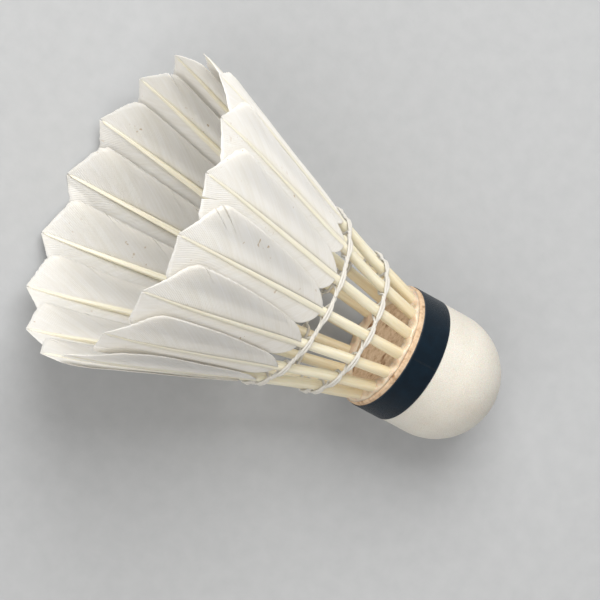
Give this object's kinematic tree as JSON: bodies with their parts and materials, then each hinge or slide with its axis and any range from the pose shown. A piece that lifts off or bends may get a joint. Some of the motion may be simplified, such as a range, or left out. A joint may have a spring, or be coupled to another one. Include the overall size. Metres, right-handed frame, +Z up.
{
  "type": "badminton shuttlecock",
  "caption": "Feather shuttlecock lying on its side: a leather-covered cork with a banded edge and a flared, thread-bound skirt of overlapping trimmed feathers.",
  "frame": {"origin": "centre of the bounding box in X and Y, on the plane that the shuttlecock lies on", "axes": "+Z up; +X towards the cork, along the shuttlecock's length; its own axis lies in the XZ plane and rises 14.5 degrees from the cork to the feather tips"},
  "size_m": [0.0962, 0.0664, 0.0645],
  "materials": {
    "quill": "horny feather stem, satin",
    "vane": "white feather web, matt with fine barbs",
    "thread": "twisted off-white thread, glued",
    "glue": "hard clear glue, slightly tan",
    "cork": "bare fine-grained cork",
    "leather": "thin white leather, fine grain",
    "band": "dark navy ribbon, semi-gloss"
  },
  "bodies": {
    "root": {"feather_01_quill": "quill", "feather_02_quill": "quill", "feather_03_quill": "quill", "feather_04_quill": "quill", "feather_05_quill": "quill", "feather_06_quill": "quill", "feather_07_quill": "quill", "feather_08_quill": "quill", "feather_09_quill": "quill", "feather_10_quill": "quill", "feather_11_quill": "quill", "feather_12_quill": "quill", "feather_13_quill": "quill", "feather_14_quill": "quill", "feather_15_quill": "quill", "feather_16_quill": "quill", "feather_01_vane": "vane", "feather_02_vane": "vane", "feather_03_vane": "vane", "feather_04_vane": "vane", "feather_05_vane": "vane", "feather_06_vane": "vane", "feather_07_vane": "vane", "feather_08_vane": "vane", "feather_09_vane": "vane", "feather_10_vane": "vane", "feather_11_vane": "vane", "feather_12_vane": "vane", "feather_13_vane": "vane", "feather_14_vane": "vane", "feather_15_vane": "vane", "feather_16_vane": "vane", "thread_lower": "thread", "thread_upper": "thread", "quill_glue": "glue", "cork_body": "cork", "cork_nose": "cork", "leather_cover": "leather", "band": "band"}
  },
  "joints": []
}
